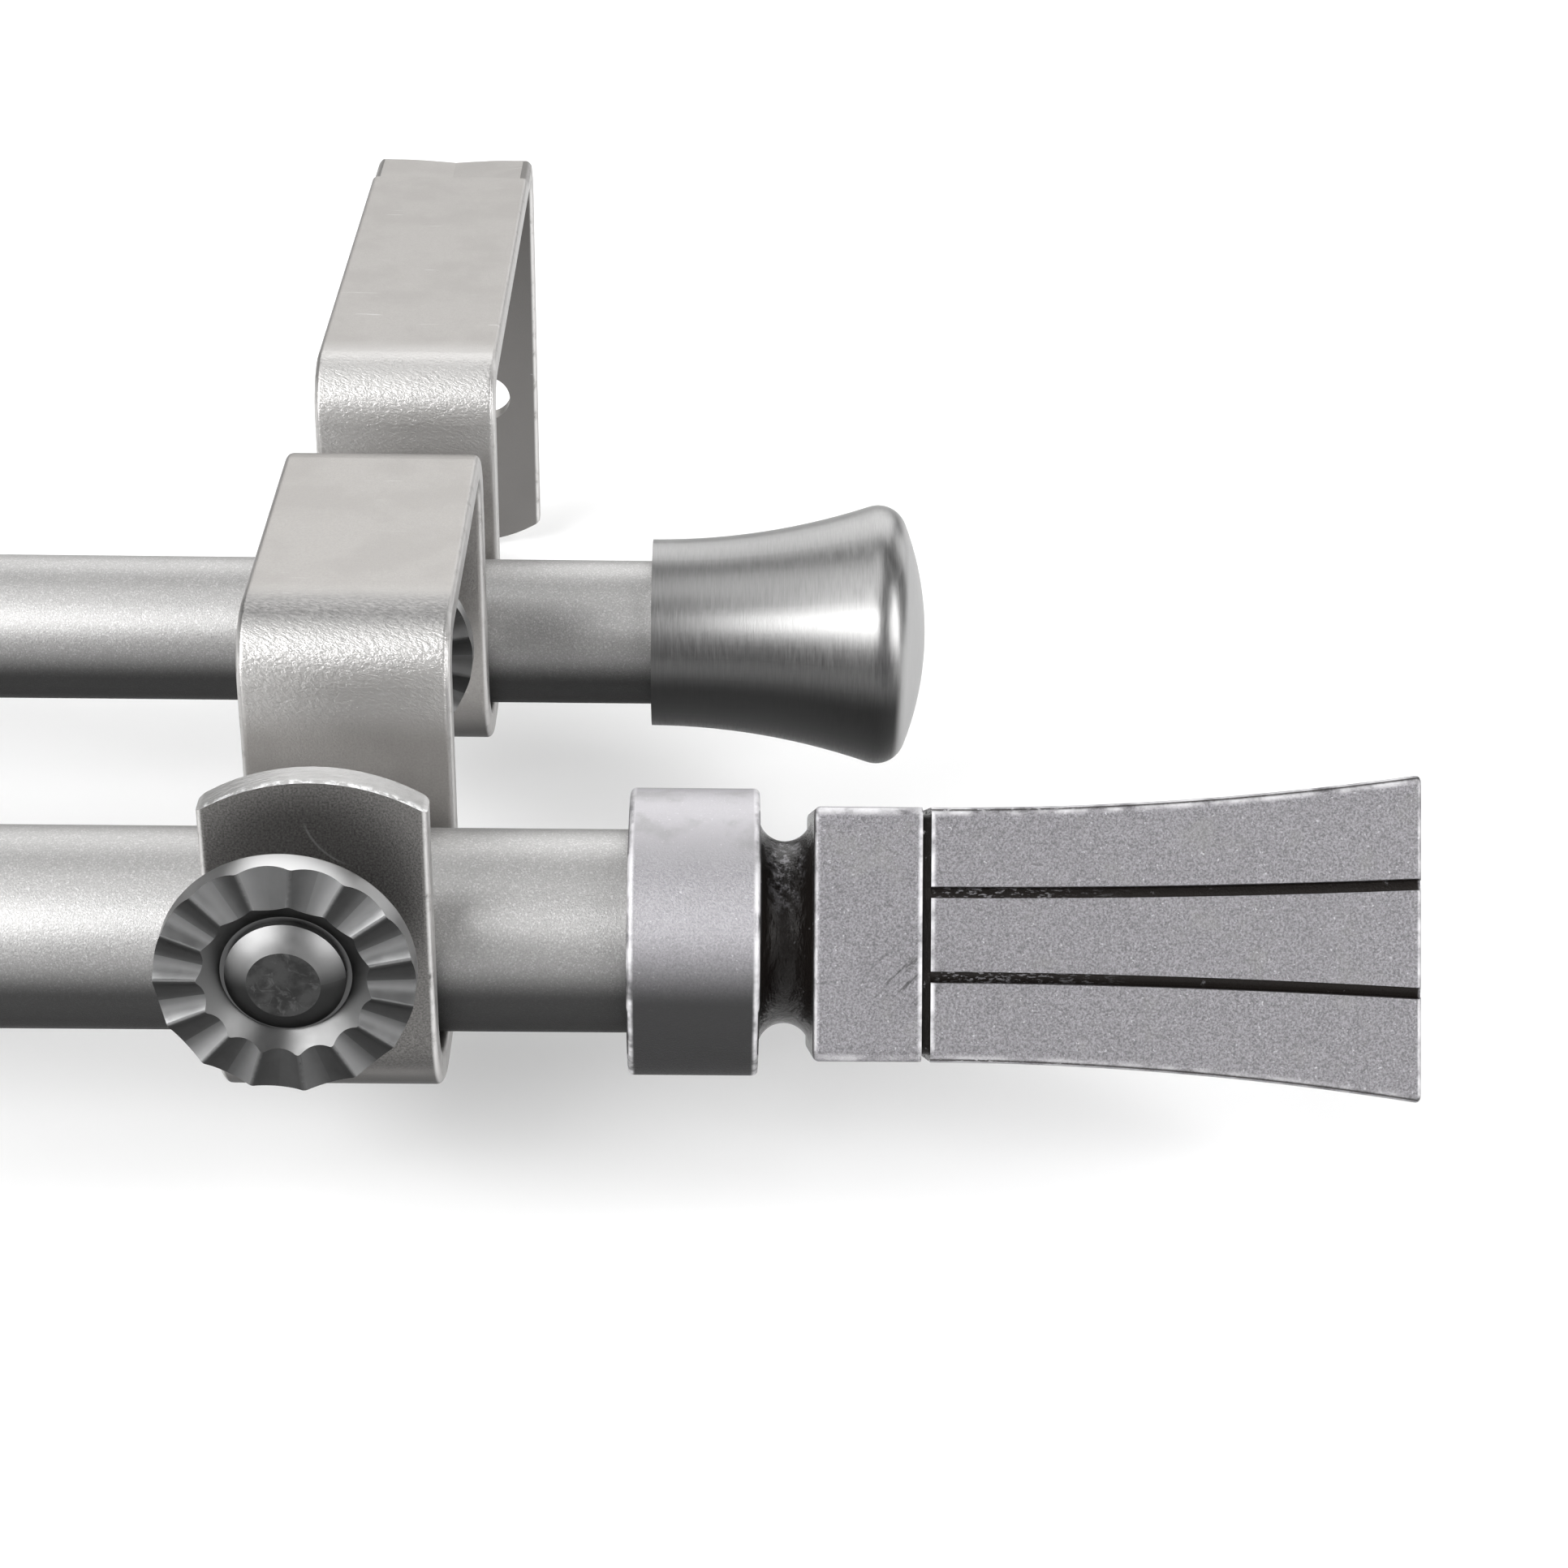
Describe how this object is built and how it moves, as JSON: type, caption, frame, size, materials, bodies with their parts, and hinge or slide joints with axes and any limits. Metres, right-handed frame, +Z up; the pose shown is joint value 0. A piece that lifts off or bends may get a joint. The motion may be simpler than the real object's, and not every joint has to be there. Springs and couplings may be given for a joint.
{
  "type": "double curtain pole",
  "caption": "Telescoping double curtain pole on folded strap brackets, with square flared finials in front, trumpet end caps behind and fluted thumbscrews",
  "frame": {"origin": "midway between the two brackets' wall slots, on the wall plane", "axes": "X along the poles, to the right; Y into the wall; Z up"},
  "size_m": [0.8522, 0.178, 0.0557],
  "materials": {
    "strap_steel": "satin nickel lacquer, fine orange peel",
    "pole_nickel": "satin nickel lacquer with fine sparkle",
    "finial_pewter": "speckled silver lacquer, blackened grooves",
    "cap_nickel": "turned and brushed satin nickel",
    "knob_gunmetal": "polished dark nickel",
    "screw_steel": "satin nickel plate",
    "reducer_plastic": "matte"
  },
  "bodies": {
    "wall_brackets": {"bracket_right": "strap_steel", "bracket_left": "strap_steel", "front_outer_tube": "pole_nickel", "back_outer_tube": "pole_nickel", "finial_right": "finial_pewter", "end_cap_right": "cap_nickel"},
    "front_inner_pole": {"front_inner_tube": "pole_nickel", "finial_left": "finial_pewter", "finial_reducer": "reducer_plastic"},
    "back_inner_pole": {"back_inner_tube": "pole_nickel", "end_cap_left": "cap_nickel", "cap_reducer": "reducer_plastic"},
    "thumbscrew_front_right": {"knob_front_right": "knob_gunmetal", "screw_front_right": "screw_steel"},
    "thumbscrew_front_left": {"knob_front_left": "knob_gunmetal", "screw_front_left": "screw_steel"},
    "thumbscrew_back_right": {"knob_back_right": "knob_gunmetal", "screw_back_right": "screw_steel"},
    "thumbscrew_back_left": {"knob_back_left": "knob_gunmetal", "screw_back_left": "screw_steel"}
  },
  "joints": [
    {"name": "front_pole_slide", "type": "slide", "parent": "wall_brackets", "child": "front_inner_pole", "axis": [-1, 0, 0], "range_m": [0, 0.48]},
    {"name": "back_pole_slide", "type": "slide", "parent": "wall_brackets", "child": "back_inner_pole", "axis": [-1, 0, 0], "range_m": [0, 0.48]},
    {"name": "thumbscrew_front_right_turn", "type": "hinge", "parent": "wall_brackets", "child": "thumbscrew_front_right", "pos_m": [0.326, -0.16227, 0.01706], "axis": [0, -1, 0], "range_deg": [0, 1080]},
    {"name": "thumbscrew_front_left_turn", "type": "hinge", "parent": "wall_brackets", "child": "thumbscrew_front_left", "pos_m": [-0.33, -0.16002, 0.01706], "axis": [0, -1, 0], "range_deg": [0, 1080]},
    {"name": "thumbscrew_back_right_turn", "type": "hinge", "parent": "wall_brackets", "child": "thumbscrew_back_right", "pos_m": [0.326, -0.09517, 0.01454], "axis": [0, -1, 0], "range_deg": [0, 1080]},
    {"name": "thumbscrew_back_left_turn", "type": "hinge", "parent": "wall_brackets", "child": "thumbscrew_back_left", "pos_m": [-0.33, -0.09286, 0.01454], "axis": [0, -1, 0], "range_deg": [0, 1080]}
  ]
}
